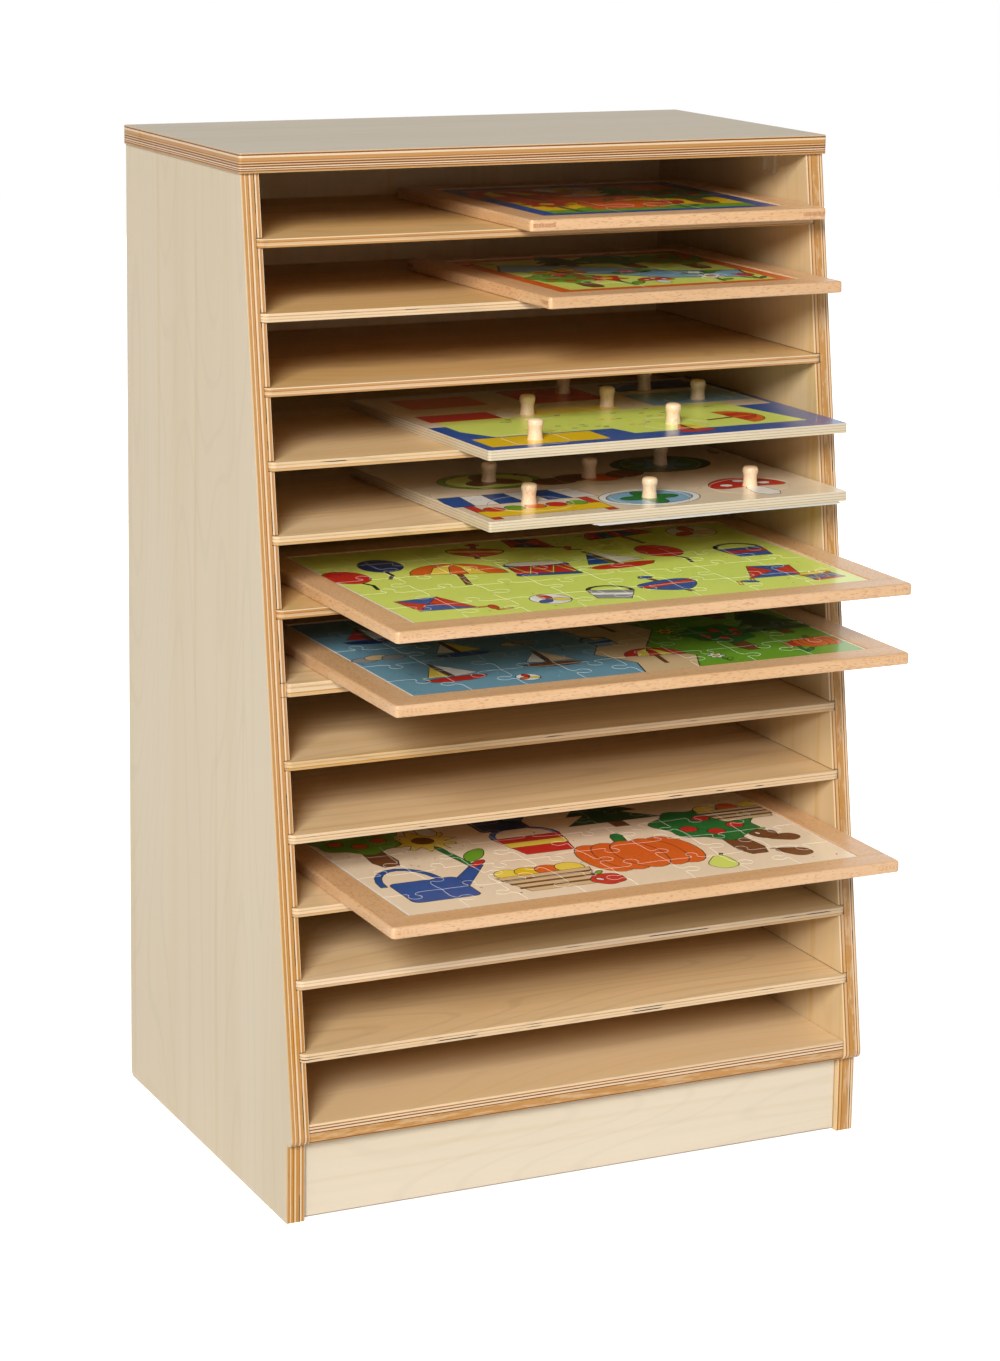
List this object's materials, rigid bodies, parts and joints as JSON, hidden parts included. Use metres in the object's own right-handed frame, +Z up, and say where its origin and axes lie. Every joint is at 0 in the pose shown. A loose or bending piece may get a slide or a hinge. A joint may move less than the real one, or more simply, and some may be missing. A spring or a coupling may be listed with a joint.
{
  "type": "puzzle storage rack",
  "caption": "Slant-fronted plywood rack with closely spaced thin shelves, holding framed jigsaw puzzles and knob puzzles that slide out by hand.",
  "frame": {"origin": "on the floor, under the middle of the whole object's box, puzzles as drawn out in the picture", "axes": "+Z up, front towards -Y, +X to the right of someone facing the front"},
  "size_m": [0.605, 0.5188, 0.9663],
  "materials": {
    "panel_ply": "clear satin lacquer over pale plywood",
    "shelf_ply": "clear satin lacquer over thin plywood",
    "sheet_ply": "sanded pale veneer",
    "backing_ply": "sanded thin plywood",
    "beech": "clear satin lacquer over beech",
    "clear_plastic": "translucent moulded plastic",
    "card": "uncoated card",
    "print_01": "satin colour print on board",
    "print_02": "satin colour print on board",
    "print_06": "satin colour print on board",
    "print_07": "satin colour print on board",
    "print_10": "satin colour print on board",
    "board_04": "satin colour print on board",
    "board_05": "clear lacquer over birch plywood",
    "knob_inlay": "satin colour print on board, lacquered wooden knob"
  },
  "bodies": {
    "rack": {"back_panel": "sheet_ply", "corner_block_floor_front_left": "clear_plastic", "corner_block_floor_front_right": "clear_plastic", "corner_block_floor_rear_left": "clear_plastic", "corner_block_floor_rear_right": "clear_plastic", "corner_block_top_front_left": "clear_plastic", "corner_block_top_front_right": "clear_plastic", "corner_block_top_rear_left": "clear_plastic", "corner_block_top_rear_right": "clear_plastic", "floor_panel": "panel_ply", "plinth_front": "sheet_ply", "plinth_rear": "sheet_ply", "shelf_01": "shelf_ply", "shelf_02": "shelf_ply", "shelf_03": "shelf_ply", "shelf_04": "shelf_ply", "shelf_05": "shelf_ply", "shelf_06": "shelf_ply", "shelf_07": "shelf_ply", "shelf_08": "shelf_ply", "shelf_09": "shelf_ply", "shelf_10": "shelf_ply", "shelf_11": "shelf_ply", "shelf_12": "shelf_ply", "side_panel_left": "panel_ply", "side_panel_right": "panel_ply", "top_panel": "panel_ply"},
    "puzzle_01": {"puzzle_01_backing": "backing_ply", "puzzle_01_frame": "beech", "puzzle_01_picture": "print_01"},
    "puzzle_02": {"puzzle_02_backing": "backing_ply", "puzzle_02_frame": "beech", "puzzle_02_picture": "print_02"},
    "knob_puzzle_04": {"knob_puzzle_04_backing": "backing_ply", "knob_puzzle_04_face": "board_04"},
    "knob_puzzle_05": {"knob_puzzle_05_backing": "backing_ply", "knob_puzzle_05_face": "board_05", "leaflet": "card"},
    "puzzle_06": {"puzzle_06_backing": "backing_ply", "puzzle_06_frame": "beech", "puzzle_06_picture": "print_06"},
    "puzzle_07": {"puzzle_07_backing": "backing_ply", "puzzle_07_frame": "beech", "puzzle_07_picture": "print_07"},
    "puzzle_10": {"puzzle_10_backing": "backing_ply", "puzzle_10_frame": "beech", "puzzle_10_picture": "print_10"},
    "knob_piece_04_1": {"knob_piece_04_1": "knob_inlay"},
    "knob_piece_04_2": {"knob_piece_04_2": "knob_inlay"},
    "knob_piece_04_3": {"knob_piece_04_3": "knob_inlay"},
    "knob_piece_04_4": {"knob_piece_04_4": "knob_inlay"},
    "knob_piece_04_5": {"knob_piece_04_5": "knob_inlay"},
    "knob_piece_04_6": {"knob_piece_04_6": "knob_inlay"},
    "knob_piece_04_7": {"knob_piece_04_7": "knob_inlay"},
    "knob_piece_05_1": {"knob_piece_05_1": "knob_inlay"},
    "knob_piece_05_2": {"knob_piece_05_2": "knob_inlay"},
    "knob_piece_05_3": {"knob_piece_05_3": "knob_inlay"},
    "knob_piece_05_4": {"knob_piece_05_4": "knob_inlay"},
    "knob_piece_05_5": {"knob_piece_05_5": "knob_inlay"},
    "knob_piece_05_6": {"knob_piece_05_6": "knob_inlay"}
  },
  "joints": [
    {"name": "puzzle_01_slide", "type": "slide", "parent": "rack", "child": "puzzle_01", "axis": [0, -1, 0], "range_m": [-0.0375, 0.2706]},
    {"name": "puzzle_02_slide", "type": "slide", "parent": "rack", "child": "puzzle_02", "axis": [0.0262, -0.9997, 0], "range_m": [-0.0713, 0.2508]},
    {"name": "knob_puzzle_04_slide", "type": "slide", "parent": "rack", "child": "knob_puzzle_04", "axis": [0.0262, -0.9997, 0], "range_m": [-0.0879, 0.2546]},
    {"name": "knob_puzzle_05_slide", "type": "slide", "parent": "rack", "child": "knob_puzzle_05", "axis": [0.0262, -0.9997, 0], "range_m": [-0.0916, 0.2606]},
    {"name": "puzzle_06_slide", "type": "slide", "parent": "rack", "child": "puzzle_06", "axis": [0, -1, 0], "range_m": [-0.1625, 0.1943]},
    {"name": "puzzle_07_slide", "type": "slide", "parent": "rack", "child": "puzzle_07", "axis": [0, -1, 0], "range_m": [-0.1622, 0.2043]},
    {"name": "puzzle_10_slide", "type": "slide", "parent": "rack", "child": "puzzle_10", "axis": [0, -1, 0], "range_m": [-0.1591, 0.2373]},
    {"name": "knob_piece_04_1_lift", "type": "slide", "parent": "knob_puzzle_04", "child": "knob_piece_04_1", "axis": [0, 0, 1], "range_m": [0, 0.02]},
    {"name": "knob_piece_04_2_lift", "type": "slide", "parent": "knob_puzzle_04", "child": "knob_piece_04_2", "axis": [0, 0, 1], "range_m": [0, 0.02]},
    {"name": "knob_piece_04_3_lift", "type": "slide", "parent": "knob_puzzle_04", "child": "knob_piece_04_3", "axis": [0, 0, 1], "range_m": [0, 0.02]},
    {"name": "knob_piece_04_4_lift", "type": "slide", "parent": "knob_puzzle_04", "child": "knob_piece_04_4", "axis": [0, 0, 1], "range_m": [0, 0.02]},
    {"name": "knob_piece_04_5_lift", "type": "slide", "parent": "knob_puzzle_04", "child": "knob_piece_04_5", "axis": [0, 0, 1], "range_m": [0, 0.02]},
    {"name": "knob_piece_04_6_lift", "type": "slide", "parent": "knob_puzzle_04", "child": "knob_piece_04_6", "axis": [0, 0, 1], "range_m": [0, 0.02]},
    {"name": "knob_piece_04_7_lift", "type": "slide", "parent": "knob_puzzle_04", "child": "knob_piece_04_7", "axis": [0, 0, 1], "range_m": [0, 0.02]},
    {"name": "knob_piece_05_1_lift", "type": "slide", "parent": "knob_puzzle_05", "child": "knob_piece_05_1", "axis": [0, 0, 1], "range_m": [0, 0.02]},
    {"name": "knob_piece_05_2_lift", "type": "slide", "parent": "knob_puzzle_05", "child": "knob_piece_05_2", "axis": [0, 0, 1], "range_m": [0, 0.02]},
    {"name": "knob_piece_05_3_lift", "type": "slide", "parent": "knob_puzzle_05", "child": "knob_piece_05_3", "axis": [0, 0, 1], "range_m": [0, 0.02]},
    {"name": "knob_piece_05_4_lift", "type": "slide", "parent": "knob_puzzle_05", "child": "knob_piece_05_4", "axis": [0, 0, 1], "range_m": [0, 0.02]},
    {"name": "knob_piece_05_5_lift", "type": "slide", "parent": "knob_puzzle_05", "child": "knob_piece_05_5", "axis": [0, 0, 1], "range_m": [0, 0.02]},
    {"name": "knob_piece_05_6_lift", "type": "slide", "parent": "knob_puzzle_05", "child": "knob_piece_05_6", "axis": [0, 0, 1], "range_m": [0, 0.02]}
  ]
}
